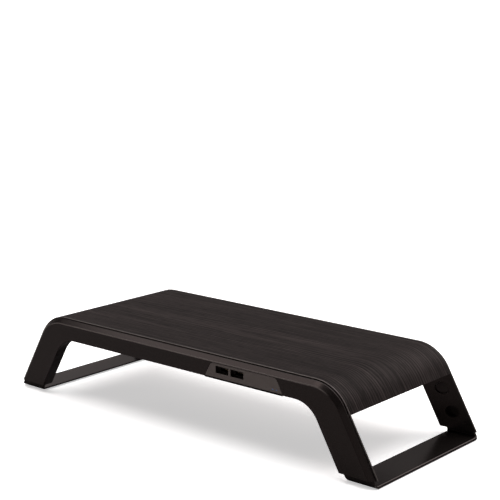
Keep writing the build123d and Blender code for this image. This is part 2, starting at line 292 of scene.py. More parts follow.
def mouldedPlastic(name, look):
    # fine spark-eroded texture: two sizes of noise lift the surface and vary its gloss a little
    recipe = Recipe(name)
    cloud = recipe.noise(recipe.coords, look["cloudScale"], 3.0)
    pits = recipe.noise(recipe.coords, look["textureScale"], 2.0, 0.6)
    dark, light = look["colours"]
    mix = recipe.maths("MULTIPLY_ADD", pits, 0.5, recipe.maths("MULTIPLY", cloud, 0.5))
    colour = recipe.tint(recipe.spread(mix, 0.3, 0.7, 0.0, 1.0), dark, light)
    gloss = recipe.spread(mix, 0.3, 0.7, *look["roughness"])
    recipe.set(specular=look["specular"])
    # painted highlight along some edges and painted shade in other places, set by a mesh attribute
    if "paintedHighlightColour" in look:
        colour, gloss = recipe.addPaintedHighlightAndShade(look, colour, gloss, cloud)
    if "paintedWellShade" in look:
        # deeper than the panel's face the wells get painted shade, darkening to near black, and they are
        # rougher
        place = recipe.add("ShaderNodeSeparateXYZ")
        recipe.link(recipe.coords, place.inputs["Vector"])
        depth = recipe.spread(place.outputs["Y"], (frontY + 0.3) * mm, (frontY + 0.9) * mm, 0.0, 1.0)
        colour = recipe.tint(depth, colour, look["paintedWellShade"])
        gloss = recipe.maths("MULTIPLY_ADD", depth, 0.4, gloss)
    recipe.link(colour, recipe.shader.inputs["Base Color"])
    recipe.link(gloss, recipe.shader.inputs["Roughness"])
    recipe.bump(pits, look["textureStrength"], look["textureHeight"] * mm)
    recipe.shader.inputs["Specular Tint"].default_value = (*warmGloss, 1)
    return recipe.material


warmGloss = (1.0, 0.82, 0.79)
framePlasticLook = {
    # the first two colours are a painted highlight and painted shade
    "paintedHighlightColour": (0.088, 0.077, 0.073), "paintedShadeColour": (0.0026, 0.0020, 0.0019),
    "colours": ((0.0044, 0.0035, 0.0033), (0.0058, 0.0047, 0.0044)),
    "roughness": (0.17, 0.21), "specular": 0.25,
    "cloudScale": 9.0, "textureScale": 1900.0, "textureStrength": 0.25, "textureHeight": 0.012,
}
deckPlasticLook = {
    "colours": ((0.0042, 0.0034, 0.0032), (0.0060, 0.0049, 0.0046)),
    "roughness": (0.36, 0.44), "specular": 0.08,
    "cloudScale": 9.0, "textureScale": 1500.0, "textureStrength": 0.4, "textureHeight": 0.03,
}
innerPlasticLook = {
    "colours": ((0.010, 0.010, 0.010), (0.016, 0.015, 0.015)),
    "roughness": (0.5, 0.62), "specular": 0.35,
    "cloudScale": 14.0, "textureScale": 1100.0, "textureStrength": 0.5, "textureHeight": 0.05,
}
fasciaPlasticLook = {
    # a painted shade colour for the wells behind the panel's face
    "paintedWellShade": (0.004, 0.0036, 0.0034),
    "colours": ((0.050, 0.0430, 0.0400), (0.060, 0.0515, 0.0480)),
    "roughness": (0.26, 0.34), "specular": 0.40,
    "cloudScale": 12.0, "textureScale": 2400.0, "textureStrength": 0.2, "textureHeight": 0.015,
}
buttonPlasticLook = {
    "colours": ((0.0056, 0.0046, 0.0043), (0.0076, 0.0062, 0.0058)),
    "roughness": (0.26, 0.32), "specular": 0.30,
    "cloudScale": 20.0, "textureScale": 2100.0, "textureStrength": 0.3, "textureHeight": 0.02,
}
footPaintLook = {
    # the first two colours are a painted highlight and painted shade
    "paintedHighlightColour": (0.085, 0.074, 0.070), "paintedShadeColour": (0.0022, 0.0018, 0.0017),
    "colours": ((0.0048, 0.0040, 0.0037), (0.0062, 0.0051, 0.0048)),
    "roughness": 0.18, "specular": 0.25, "peelScale": 260.0, "peelStrength": 0.12, "peelHeight": 0.04,
    "speckScale": 3200.0,
}
woodLook = {
    "dark": (0.0016, 0.0012, 0.0011), "light": (0.0285, 0.0217, 0.0211),
    "figureY": 118.0, "figureHeight": 26.0, "figureTilt": -0.022, "figurePitch": 4.3,
    "lineDepth": 1.3, "specular": 0.085, "roughness": (0.48, 0.60),
}


def paintedSteel(name, look):
    # smooth paint with a faint orange peel and finer specks in it
    recipe = Recipe(name)
    peel = recipe.noise(recipe.coords, look["peelScale"], 2.0)
    speck = recipe.noise(recipe.coords, look["speckScale"], 1.0)
    colour = recipe.tint(recipe.spread(speck, 0.3, 0.7, 0.0, 1.0), *look["colours"])
    gloss = recipe.spread(peel, 0.3, 0.7, look["roughness"] - 0.02, look["roughness"] + 0.03)
    # painted highlight on the strip's edges and painted shade on its desk side, set by a mesh attribute
    colour, gloss = recipe.addPaintedHighlightAndShade(look, colour, gloss, recipe.noise(recipe.coords, 11.0, 3.0))
    recipe.link(colour, recipe.shader.inputs["Base Color"])
    recipe.link(gloss, recipe.shader.inputs["Roughness"])
    recipe.bump(peel, look["peelStrength"], look["peelHeight"] * mm)
    recipe.set(specular=look["specular"])
    recipe.shader.inputs["Specular Tint"].default_value = (*warmGloss, 1)
    return recipe.material


def darkWood(name, look):
    # growth rings cut by a flat board: the ring number is the distance to a slightly tilted
    # heart line, so the lines close into arches; long streaks and pores run with the grain
    recipe = Recipe(name)
    uvMap = recipe.add("ShaderNodeUVMap", uv_map="grain")
    along = recipe.add("ShaderNodeSeparateXYZ")
    recipe.link(uvMap.outputs["UV"], along.inputs["Vector"])
    u, v = along.outputs["X"], along.outputs["Y"]
    waver = recipe.noise(recipe.stretched((3.2, 14.0, 1.0), uvMap.outputs["UV"]), 1.0, 3.0, 0.55)
    ripple = recipe.noise(recipe.stretched((14.0, 60.0, 1.0), uvMap.outputs["UV"], move=(3, 7, 0)), 1.0, 2.0)
    bend = recipe.maths("MULTIPLY_ADD", waver, 0.020, recipe.maths("MULTIPLY", ripple, 0.003))
    bent = recipe.maths("SUBTRACT", bend, 0.0115)
    across = recipe.maths("ADD", recipe.maths("SUBTRACT", v, look["figureY"] * mm), bent)
    deep = recipe.maths("MULTIPLY_ADD", u, look["figureTilt"], look["figureHeight"] * mm)
    acrossSquared = recipe.maths("MULTIPLY", across, across)
    deepSquared = recipe.maths("MULTIPLY", deep, deep)
    ring = recipe.maths("SQRT", recipe.maths("ADD", acrossSquared, deepSquared))
    phase = recipe.maths("FRACT", recipe.maths("DIVIDE", ring, look["figurePitch"] * mm))
    lateWood = recipe.maths("POWER", phase, 3.0)
    edge = recipe.maths("SUBTRACT", 1.0, recipe.maths("POWER", recipe.maths("SUBTRACT", 1.0, phase), 12.0))
    fade = recipe.noise(recipe.stretched((2.0, 9.0, 1.0), uvMap.outputs["UV"], move=(5, 1, 0)), 1.0, 2.0)
    fromLeft = recipe.spread(u, -0.30, 0.12, 0.35, 1.0)
    shown = recipe.maths("MULTIPLY", fromLeft, recipe.spread(fade, 0.35, 0.60, 0.7, 1.0))
    # the wide arches next to the heart line are fainter
    fromHeart = recipe.maths("SUBTRACT", ring, deep)
    heartFade = recipe.spread(fromHeart, 0.0, 2 * look["figurePitch"] * mm, 0.15, 1.0)
    shown = recipe.maths("MULTIPLY", shown, heartFade)
    lines = recipe.maths("MULTIPLY", recipe.maths("MULTIPLY", lateWood, edge), shown)
    streaks = recipe.noise(recipe.stretched((6.0, 340.0, 1.0), uvMap.outputs["UV"]), 1.0, 4.0, 0.7)
    bandPlace = recipe.stretched((2.4, 62.0, 1.0), uvMap.outputs["UV"], move=(11, 5, 0))
    bands = recipe.noise(bandPlace, 1.0, 3.0, 0.6)
    pores = recipe.noise(recipe.stretched((52.0, 430.0, 1.0), uvMap.outputs["UV"], move=(1, 3, 0)), 1.0, 2.0)
    poreMask = recipe.spread(pores, 0.54, 0.66, 0.0, 1.0)
    streakTone = recipe.spread(streaks, 0.34, 0.66, 0.0, 1.0)
    bandTone = recipe.spread(bands, 0.32, 0.68, 0.02, 0.36)
    tone = recipe.maths("MULTIPLY_ADD", streakTone, 0.62, bandTone)
    tone = recipe.maths("SUBTRACT", tone, recipe.maths("MULTIPLY", lines, look["lineDepth"]))
    tone = recipe.maths("SUBTRACT", tone, recipe.maths("MULTIPLY", poreMask, 0.3), clamp=True)
    recipe.link(recipe.tint(tone, look["dark"], look["light"]), recipe.shader.inputs["Base Color"])
    gloss = recipe.spread(tone, 0.0, 1.0, look["roughness"][1], look["roughness"][0])
    recipe.link(gloss, recipe.shader.inputs["Roughness"])
    recipe.bump(tone, 0.5, 0.09 * mm)
    recipe.set(specular=look["specular"])
    recipe.shader.inputs["Specular Tint"].default_value = (*warmGloss, 1)
    return recipe.material


def brushedMetal(name, colour, roughness, stretch):
    recipe = Recipe(name)
    lines = recipe.noise(recipe.stretched(stretch), 1.0, 3.0, 0.6)
    brushed = recipe.spread(lines, 0.3, 0.7, 0.0, 1.0)
    recipe.link(recipe.tint(brushed, [c * 0.75 for c in colour], colour), recipe.shader.inputs["Base Color"])
    gloss = recipe.spread(lines, 0.3, 0.7, roughness + 0.08, roughness - 0.05)
    recipe.link(gloss, recipe.shader.inputs["Roughness"])
    recipe.bump(lines, 0.3, 0.01 * mm)
    recipe.set(metallic=1.0)
    return recipe.material


def circuitBoard(name):
    # solder mask over copper runs: a coarse grid of paths in a darker green
    recipe = Recipe(name)
    runs = recipe.add("ShaderNodeTexBrick", offset=0.5)
    recipe.link(recipe.stretched((90, 90, 90)), runs.inputs["Vector"])
    runs.inputs["Color1"].default_value = (0.006, 0.075, 0.030, 1)
    runs.inputs["Color2"].default_value = (0.008, 0.090, 0.036, 1)
    runs.inputs["Mortar"].default_value = (0.012, 0.130, 0.055, 1)
    runs.inputs["Mortar Size"].default_value = 0.03
    recipe.link(runs.outputs["Color"], recipe.shader.inputs["Base Color"])
    haze = recipe.noise(recipe.coords, 300.0, 2.0)
    recipe.link(recipe.spread(haze, 0.3, 0.7, 0.25, 0.38), recipe.shader.inputs["Roughness"])
    recipe.bump(runs.outputs["Fac"], 0.4, 0.03 * mm)
    recipe.set(coat=0.4, coatRoughness=0.2)
    return recipe.material


def padRubber(name):
    recipe = Recipe(name)
    grain = recipe.noise(recipe.coords, 1300.0, 3.0, 0.7)
    speckle = recipe.spread(grain, 0.3, 0.7, 0.0, 1.0)
    black = recipe.tint(speckle, (0.012, 0.012, 0.012), (0.022, 0.021, 0.021))
    recipe.link(black, recipe.shader.inputs["Base Color"])
    recipe.link(recipe.spread(grain, 0.3, 0.7, 0.75, 0.9), recipe.shader.inputs["Roughness"])
    recipe.bump(grain, 0.6, 0.06 * mm)
    recipe.set(specular=0.3)
    return recipe.material


def lightPipe(name):
    recipe = Recipe(name)
    haze = recipe.noise(recipe.coords, 900.0, 2.0)
    recipe.link(recipe.tint(haze, (0.03, 0.08, 0.18), (0.05, 0.12, 0.26)), recipe.shader.inputs["Base Color"])
    recipe.link(recipe.spread(haze, 0.3, 0.7, 0.15, 0.3), recipe.shader.inputs["Roughness"])
    blue = recipe.tint(haze, (0.05, 0.20, 0.75), (0.08, 0.28, 1.0))
    recipe.link(blue, recipe.shader.inputs["Emission Color"])
    recipe.set(glow=0.10, coat=0.3)
    return recipe.material


finishes = {
    "frame_plastic": mouldedPlastic("satinFramePlastic", framePlasticLook),
    "deck_plastic": mouldedPlastic("deckEdgePlastic", deckPlasticLook),
    "wood_grain": darkWood("darkWoodGrain", woodLook),
    "inner_plastic": mouldedPlastic("innerRibPlastic", innerPlasticLook),
    "screw_steel": brushedMetal("screwSteel", (0.42, 0.41, 0.40), 0.34, (400, 400, 2600)),
    "fascia_plastic": mouldedPlastic("hubFasciaPlastic", fasciaPlasticLook),
    "board_green": circuitBoard("greenBoard"),
    "port_steel": brushedMetal("portShellSteel", (0.060, 0.057, 0.055), 0.38, (300, 2600, 300)),
    "insulator_plastic": mouldedPlastic(
        "portInsulator", dict(innerPlasticLook, colours=((0.006, 0.006, 0.006), (0.010, 0.010, 0.010)))
    ),
    "contact_brass": brushedMetal("contactGilt", (0.80, 0.58, 0.26), 0.28, (800, 200, 800)),
    "component_black": mouldedPlastic("chipResin", dict(innerPlasticLook, textureScale=2600.0)),
    "clear_plastic": lightPipe("clearLightPipe"),
    "blue_light": lightPipe("blueLight"),
    "foot_paint": paintedSteel("footPaint", footPaintLook),
    "pad_rubber": padRubber("padRubber"),
    "button_plastic": mouldedPlastic("buttonPlastic", buttonPlasticLook),
    "spring_steel": brushedMetal("springSteel", (0.50, 0.49, 0.47), 0.26, (500, 500, 1800)),
}
print("finishes made:", len(finishes))

# front and rear frames

frames = {
    "chamferIn": 7.6, "chamferBack": 7.4, "grooveEnd": 8.2, "grooveSink": 1.7,
    "faceEase": 0.75, "lipEase": 0.35, "beadEase": 0.7, "beadBackEase": 0.6, "innerEase": 0.6,
    # the last three numbers place the painted highlight: the level where it fades in, over how many
    # millimetres, and its strength on the bead down the legs
    "seatSink": 4.2, "seatLevel": 83.8, "highlightFrom": 110.0, "highlightFade": 8.0, "beadHighlightOnLeg": 0.55,
    "slot": {"s0": 4.4, "s1": 42.8, "t1": 106.0, "v0": 4.9, "v1": 8.3},
    "hole": {"s": 20.0, "t": (84.0, 50.0), "width": 20.5, "tall": 15.5},
    "pocketLevels": (92.4, 112.2), "skin": 2.6,
    "frontPockets": ((-218, -150), (-147, -80), (-77, -2), (1, 45), (188, 218)),
    "rearPockets": ((-218, -132), (-129, -43), (-40, 40), (43, 129), (132, 218)),
    "bossX": (-200.0, -110.0, -20.0, 200.0), "bossZ": 102.0, "bossRadius": 3.5,
}


def outerArc(steps):
    # the shoulder's arc, from the leg to the top: centre + R (cos, sin)
    reach = riser["shoulderRadius"] * math.tan(math.pi / 6)
    cornerX = legLineX(0, riser["height"])
    angle = np.linspace(math.pi / 6, math.pi / 2, steps)
    centre = np.array([cornerX - reach, riser["height"] - riser["shoulderRadius"]])
    out = np.stack([np.cos(angle), np.sin(angle)], 1)
    return centre + riser["shoulderRadius"] * out, -out


def innerArc(angle):
    reach = riser["archRadius"] * math.tan(math.pi / 6)
    cornerX = legLineX(riser["legWidth"], riser["archTop"])
    centre = np.array([cornerX - reach, riser["archTop"] - riser["archRadius"]])
    out = np.stack([np.cos(angle), np.sin(angle)], 1)
    return centre, centre + riser["archRadius"] * out, out


def levelStations(levels):
    # level cuts through the leg: outer point, inner point, and how each moves per millimetre
    levels = np.asarray(levels, float)
    outer = np.stack([legLineX(0, levels), levels], 1)
    centre, _, _ = innerArc(np.zeros(1))
    up = np.maximum(levels - centre[1], riser["archRadius"] * sinLean)
    run = np.sqrt(riser["archRadius"] ** 2 - up**2)
    onArc = levels > centre[1] + riser["archRadius"] * sinLean
    innerX = np.where(onArc, centre[0] + run, legLineX(riser["legWidth"], levels))
    inner = np.stack([innerX, levels], 1)
    flat = np.zeros(len(levels))
    outerStep = np.stack([flat - 1 / cosLean, flat], 1)
    innerStep = np.stack([np.where(onArc, riser["archRadius"] / run, 1 / cosLean), flat], 1)
    return outer, outerStep, inner, innerStep


def bothSides(right):
    # the left half is the right half backwards with x turned over
    left = right[::-1].copy()
    left[:, 0] *= -1
    return np.concatenate([right, left])


def archRings():
    f = frames
    sleeve = riser["sleeveBottom"]
    joints = levelStations([sleeve, sleeve + 0.7, 40, 70, 73.5, 77, 80.5, f["seatLevel"], f["seatLevel"]])
    belowCount = len(joints[0]) - 1
    outer, outerStep = outerArc(riser["arcSteps"])
    start = math.asin((f["seatLevel"] + 0.8 - 50) / riser["archRadius"])
    _, inner, innerStep = innerArc(np.linspace(start, math.pi / 2, riser["arcSteps"]))
    path = [bothSides(np.concatenate([a, b])) for a, b in zip(joints, (outer, outerStep, inner, innerStep))]
    half = len(path[0]) // 2
    below = np.arange(half) < belowCount
    below = np.concatenate([below, below[::-1]])
    sink = f["grooveSink"]
    lip = f["chamferBack"] * (1 - sink / f["chamferIn"])
    shared = [(10, 0), (f["chamferIn"], 0), (sink, lip), (sink, f["grooveEnd"]), (0, f["grooveEnd"]),
              (0, riser["outerLegDepth"])]
    sunk, deep = f["seatSink"], riser["frameDepth"]
    legSection = shared + [(sunk, backFace(sunk)), (sunk + 0.01, backFace(sunk + 0.01)), (44, backFace(44))]
    railSection = shared + [(sunk, riser["outerLegDepth"]), (sunk, deep), (sunk + 3, deep)]
    ease = [f["faceEase"], f["lipEase"], 0, f["beadEase"], f["beadBackEase"], 0, 0]
    legInner = [(10, deep - 1.622), (0, deep), (0, 0), (10, 0)]
    railInner = [(10, deep), (0, deep), (0, 0), (10, 0)]
    innerEase = [f["innerEase"], f["innerEase"]]
    picked = []
    for leg, rail, soft, base, step in (
        (legSection, railSection, ease, path[0], path[1]),
        (legInner, railInner, innerEase, path[2], path[3]),
    ):
        legPart, railPart = easeCorners(leg, soft), easeCorners(rail, soft)
        if base is path[2]:
            legPart, railPart = legPart[1:-1], railPart[1:-1]
        offset = np.where(below[:, None, None], legPart[None], railPart[None])
        points = np.zeros((len(base), legPart.shape[0], 3))
        points[:, :, 0] = base[:, None, 0] + offset[:, :, 0] * step[:, None, 0]
        points[:, :, 2] = base[:, None, 1] + offset[:, :, 0] * step[:, None, 1]
        points[:, :, 1] = frontY + offset[:, :, 1]
        picked.append(points)
    # the painted highlight is 1 along the bead and fades out down the legs on the edge of the front face,
    # and -1 marks painted shade inside the arch, where the mould also leaves the surface rough
    paintedHighlightAndShade = np.zeros((len(path[0]), sum(part.shape[1] for part in picked)))
    high = np.clip((path[0][:, 1] - f["highlightFrom"]) / f["highlightFade"], 0, 1)
    paintedHighlightAndShade[:, 2:7] = 0.85 * high[:, None]
    paintedHighlightAndShade[:, 23:35] = f["beadHighlightOnLeg"] + (1 - f["beadHighlightOnLeg"]) * high[:, None]
    # painted shade is full inside the arch's curve and 0.45 on the inner faces of the legs
    shadeStrength = np.where(below, 0.45, 1.0)
    paintedHighlightAndShade[:, picked[0].shape[1]:-3] = -shadeStrength[:, None]
    return np.concatenate(picked, 1), paintedHighlightAndShade


def slantedBox(s0, s1, t0, t1, v0, v1):
    # a rectangle of s and v carried along the leg from t0 to t1
    corner = np.array([(s0, v0), (s1, v0), (s1, v1), (s0, v1)])
    rings = np.zeros((2, 4, 3))
    x, z = legPoint(corner[None, :, 0], np.array([[t0], [t1]]))
    rings[:, :, 0], rings[:, :, 2], rings[:, :, 1] = x, z, frontY + corner[None, :, 1]
    return rings


def webRings(width, tall, t):
    # an oval prism whose front end follows the leg's sloping back face, a web's thickness in
    x, z = legPoint(frames["hole"]["s"], t)
    loop = oval(x, z, width, tall)
    return alongY(loop, [riser["frameDepth"] + 1, frames["slot"]["v0"] + 0.1])


def frameTools(sideX, sideY):
    f = frames
    slot, hole = f["slot"], f["hole"]
    slotBox = slantedBox(slot["s0"], slot["s1"], -10, slot["t1"], slot["v0"], slot["v1"])
    tools = [shellFromRings("slotTool", slotBox, None, sideX, sideY)]
    for t in hole["t"]:
        x, z = legPoint(hole["s"], t)
        tools.append(shellFromRings("holeTool", webRings(hole["width"], hole["tall"], t), None, sideX, sideY))
        cup = oval(x, z, hole["width"] + 4.8, hole["tall"] + 4.8)
        cupRings = alongY(cup, [slot["v0"] - 2.5, slot["v0"] + 0.1])
        tools.append(shellFromRings("cupTool", cupRings, None, sideX, sideY))
    return tools


def buildFrame(name, pockets, bossX, turned):
    f = frames
    rings, paintedHighlightAndShade = archRings()
    piece = shellFromRings(name, rings, None, False, turned, paintedHighlightAndShade)
    tools = frameTools(False, turned) + frameTools(True, turned)
    low, high = f["pocketLevels"]
    for x0, x1 in pockets:
        pocket = block(x0, x1, f["skin"], riser["frameDepth"] + 1, low, high)
        tools.append(shellFromRings("pocketTool", pocket, None, False, turned))
    shape(piece, tools)
    bosses = []
    for x in bossX:
        ring = oval(x, f["bossZ"], 2 * f["bossRadius"], 2 * f["bossRadius"], 28)
        bossRings = alongY(ring, [f["skin"] - 0.4, riser["frameDepth"]])
        bosses.append(shellFromRings("bossTool", bossRings, None, False, turned))
    shape(piece, bosses, "UNION")
    bores = []
    for x in bossX:
        ring = oval(x, f["bossZ"], 2.5, 2.5, 20)
        boreRings = alongY(ring, [6.0, riser["frameDepth"] + 1])
        bores.append(shellFromRings("boreTool", boreRings, None, False, turned))
    shape(piece, bores)
    return piece


hub = {
    "left": 51.0, "right": 182.0, "slope": 11.5, "top": 110.5, "cornerEase": 4.7, "panel": 2.4,
    "portX": (81.2, 106.5), "portZ": 102.6, "window": (21.8, 9.4), "windowDepth": 4.8,
    "shell": (14.4, 7.0), "lightX": (165.2, 171.5), "lightZ": 95.0, "lightRadius": 0.7,
    "rimEase": 0.25, "bay": (48, 185), "bayLevels": (89, 113.2),
}


def hubOutline(gap):
    left, right, top = hub["left"] - gap, hub["right"] + gap, hub["top"] + gap
    corners = [
        (left, riser["archTop"]), (left + hub["slope"], top),
        (right - hub["slope"], top), (right, riser["archTop"]),
    ]
    return easeLoop(corners, [0, hub["cornerEase"], hub["cornerEase"], 0], 10)


frontFrame = buildFrame("frontFrame", frames["frontPockets"], frames["bossX"], False)
bay = block(*hub["bay"], hub["panel"], riser["frameDepth"] + 1, *hub["bayLevels"])
bayTool = shellFromRings("bayTool", bay)
recess = hubOutline(0.15)
recess[recess[:, 1] < riser["archTop"] + 0.01, 1] -= 1.0
panelTool = shellFromRings("panelTool", alongY(recess, [-1, hub["panel"] + 1]))
shape(frontFrame, [bayTool, panelTool])
place(frontFrame, "stand", finishes["frame_plastic"], "frame_plastic", "front_frame")
rearFrame = buildFrame("rearFrame", frames["rearPockets"], [-x for x in frames["bossX"]], True)
place(rearFrame, "stand", finishes["frame_plastic"], "frame_plastic", "rear_frame")
print("frames made:", len(frontFrame.data.polygons), len(rearFrame.data.polygons), "faces")

# deck

deck = {
    "start": 10.6, "thickness": 4.0, "skinStart": 14.0, "skinThickness": 0.8,
    "edgeEase": 0.7, "skinEase": 0.12, "underEase": 0.4,
}


def deckPath(steps):
    # from the right skirt's level cut, over both shoulders, to the left one
    cut = levelStations([riser["skirtBottom"], riser["skirtBottom"] + 0.5])
    arc, arcStep = outerArc(steps)
    point = bothSides(np.concatenate([cut[0], arc]))
    step = bothSides(np.concatenate([cut[1], arcStep]))
    length = np.concatenate([[0], np.cumsum(np.linalg.norm(np.diff(point, axis=0), axis=1))])
    return point, step, length - length[-1] / 2


def overTheTop(section, steps=riser["arcSteps"]):
    point, step, length = deckPath(steps)
    rings = np.zeros((len(point), len(section), 3))
    rings[:, :, 0] = point[:, None, 0] + section[None, :, 0] * step[:, None, 0]
    rings[:, :, 2] = point[:, None, 1] + section[None, :, 0] * step[:, None, 1]
    rings[:, :, 1] = frontY + section[None, :, 1]
    uv = np.zeros((len(point), len(section), 2))
    uv[:, :, 0] = -length[:, None] * mm
    uv[:, :, 1] = section[None, :, 1] * mm
    return rings, uv


d0, d1 = deck["start"], riser["depth"] - deck["start"]
w0, w1 = deck["skinStart"], riser["depth"] - deck["skinStart"]
deep = deck["skinThickness"] + 0.05
shellSection = easeLoop(
    [
        (0, d0), (0, w0 - 0.08), (deep, w0 - 0.08), (deep, w1 + 0.08),
        (0, w1 + 0.08), (0, d1), (deck["thickness"], d1), (deck["thickness"], d0),
    ],
    [deck["edgeEase"], 0.15, 0, 0, 0.15, deck["edgeEase"], deck["underEase"], deck["underEase"]],
)
deckShell = shellFromRings("deckShell", overTheTop(shellSection)[0])
place(deckShell, "stand", finishes["deck_plastic"], "deck_plastic", "deck_shell")
skinSection = easeLoop(
    [(0, w0), (0, w1), (deck["skinThickness"], w1), (deck["skinThickness"], w0)],
    [deck["skinEase"], deck["skinEase"], 0, 0],
)
skinRings, skinUv = overTheTop(skinSection)
woodSkin = shellFromRings("woodSkin", skinRings, skinUv)
place(woodSkin, "stand", finishes["wood_grain"], "wood_grain", "wood_skin")
print("deck made")

# hub panel


def buildFascia():
    h = hub
    loop = hubOutline(0)
    rim = h["rimEase"]
    inset = np.array([3 * rim, 1.3 * rim, rim, 0.4 * rim, 0.1 * rim, 0, 0, 0])
    depths = np.array([0, 0, 0, 0.15 * rim, 0.5 * rim, rim, 1.3 * rim, h["panel"]])
    rings = np.stack([alongY(insetLoop(loop, i), [v])[0] for i, v in zip(inset, depths)])
    piece = shellFromRings("hubFascia", rings)
    wells, cuts = [], []
    end = h["windowDepth"] + 1.2
    for x in h["portX"]:
        for grow, store, v0, v1, size in (
            (1.1, wells, h["panel"] - 0.4, end, h["window"]),
            (0.0, cuts, -1.0, h["windowDepth"], h["window"]),
            (0.25, cuts, -1.0, end + 1, h["shell"]),
        ):
            halfWide, halfTall = size[0] / 2 + grow, size[1] / 2 + grow
            corners = [(x - halfWide, h["portZ"] - halfTall), (x + halfWide, h["portZ"] - halfTall),
                       (x + halfWide, h["portZ"] + halfTall), (x - halfWide, h["portZ"] + halfTall)]
            store.append(shellFromRings("wellTool", alongY(easeLoop(corners, [0.5] * 4, 4), [v0, v1])))
    for x in h["lightX"]:
        ring = oval(x, h["lightZ"], 2 * h["lightRadius"] + 0.2, 2 * h["lightRadius"] + 0.2, 24)
        cuts.append(shellFromRings("lightTool", alongY(ring, [-1, end])))
    shape(piece, wells, "UNION")
    shape(piece, cuts)
    return piece


hubFascia = buildFascia()
place(hubFascia, "stand", finishes["fascia_plastic"], "fascia_plastic", "hub_fascia")
print("hub panel made")

# feet

feet = {
    "strip": 3.0, "s0": 4.6, "s1": 42.6, "front": 5.1, "topT": 104.0, "bend": 6.0, "bottom": 1.0,
    "edgeEase": 0.55, "bendSteps": 12, "window": (20.3, 15.3),
}


def footRings():
    # the strip's middle line in the YZ plane: up one post, round two bends, up the other
    f = feet
    half = f["strip"] / 2
    y0 = frontY + f["front"] + half
    z0 = f["bottom"] + half
    radius = f["bend"] - half
    angle = np.linspace(0, np.pi / 2, f["bendSteps"])
    topZ = f["topT"] * cosLean
    yPath = np.concatenate([[y0, y0], y0 + radius - radius * np.cos(angle)])
    zPath = np.concatenate([[topZ, 60.0], z0 + radius - radius * np.sin(angle)])
    yOut = np.concatenate([[-1, -1], -np.cos(angle)])
    zOut = np.concatenate([[0, 0], -np.sin(angle)])
    tilt = np.zeros(len(yPath))
    tilt[0] = sinLean
    yPath, yOut = np.concatenate([yPath, -yPath[::-1]]), np.concatenate([yOut, -yOut[::-1]])
    zPath, zOut = np.concatenate([zPath, zPath[::-1]]), np.concatenate([zOut, zOut[::-1]])
    tilt = np.concatenate([tilt, tilt[::-1]])
    stripCorners = [(f["s0"], -half), (f["s1"], -half), (f["s1"], half), (f["s0"], half)]
    section = easeLoop(stripCorners, [f["edgeEase"]] * 4)
    # the plate's outer edges get a painted highlight, and the side turned to the desk gets painted shade and
    # is rougher
    paintedHighlightAndShade = np.zeros((len(yPath), len(section)))
    paintedHighlightAndShade[:, 15:22] = -1
    paintedHighlightAndShade[:, 1:6] = 0.5
    paintedHighlightAndShade[4:-4, 22:27] = 0.7
    s, h = section[None, :, 0], section[None, :, 1]
    rings = np.zeros((len(yPath), len(section), 3))
    rings[:, :, 1] = yPath[:, None] + h * yOut[:, None]
    rings[:, :, 2] = zPath[:, None] + h * zOut[:, None] - tilt[:, None] * s
    rings[:, :, 0] = legLineX(s, rings[:, :, 2])
    return rings, paintedHighlightAndShade


def buildFoot(name, mirrored):
    rings, paintedHighlightAndShade = footRings()
    piece = shellFromRings(name, rings, None, mirrored, False, paintedHighlightAndShade)
    x, z = legPoint(frames["hole"]["s"], frames["hole"]["t"][0])
    loop = oval(x, z, *feet["window"])
    tools = []
    for v in (feet["front"] - 1, riser["depth"] - feet["front"] - feet["strip"] - 1):
        tools.append(shellFromRings("windowTool", alongY(loop, [v, v + feet["strip"] + 2]), None, mirrored))
    shape(piece, tools)
    return piece


rightFoot = buildFoot("rightFootFrame", False)
place(rightFoot, "right_foot", finishes["foot_paint"], "foot_paint", "right_foot_frame")
leftFoot = buildFoot("leftFootFrame", True)
place(leftFoot, "left_foot", finishes["foot_paint"], "foot_paint", "left_foot_frame")
print("feet made")

# latch buttons

button = {
    "width": 19.8, "tall": 14.8, "base": 7.6, "recess": 1.3, "rim": 0.7, "dish": 0.25, "around": 96,
}


def buttonRings():
    # rings of one oval: share is the ring's size, top says whether its depth follows the
    # leg's sloping face, and drop is how far it lies under that face
    b = button
    x, z = legPoint(frames["hole"]["s"], frames["hole"]["t"][0])
    loop = oval(0, 0, b["width"], b["tall"], b["around"])
    t = np.linspace(0, np.pi / 2, 6)
    inwards = b["rim"] / (b["tall"] / 2)
    rimShare = 1 - inwards * (1 - np.cos(t))
    share = np.concatenate([[0.02, 0.93, 0.985, 1, 1], rimShare, [0.88, 0.7, 0.45, 0.2, 0.02]])
    dished = b["dish"] * np.array([0, 0.24, 0.72, 0.96, 1])
    drop = np.concatenate([[0, 0, 0, 0, b["rim"] * 1.4], b["rim"] * (1 - np.sin(t)), dished])
    top = np.arange(len(share)) > 3
    base = np.concatenate([[0, 0, 0.1, 0.5], np.zeros(len(share) - 4)])
    rings = np.zeros((len(share), b["around"], 3))
    rings[:, :, 0] = x + share[:, None] * loop[None, :, 0]
    rings[:, :, 2] = z + share[:, None] * loop[None, :, 1]
    s = (riser["outerXAtDesk"] - rings[:, :, 0]) * cosLean - rings[:, :, 2] * sinLean
    face = backFace(s) - b["recess"] - drop[:, None]
    rings[:, :, 1] = frontY + np.where(top[:, None], face, b["base"] + base[:, None])
    return rings


for endName, mirrorY in (("front", False), ("rear", True)):
    for sideName, mirrorX in (("right", False), ("left", True)):
        corner = endName + "_" + sideName
        buttonName = endName + sideName.capitalize() + "Button"
        piece = shellFromRings(buttonName, buttonRings(), None, mirrorX, mirrorY)
        place(piece, corner + "_button", finishes["button_plastic"], "button_plastic", corner + "_button")
print("buttons made")

# CAD nodes that stay, each with its own finish

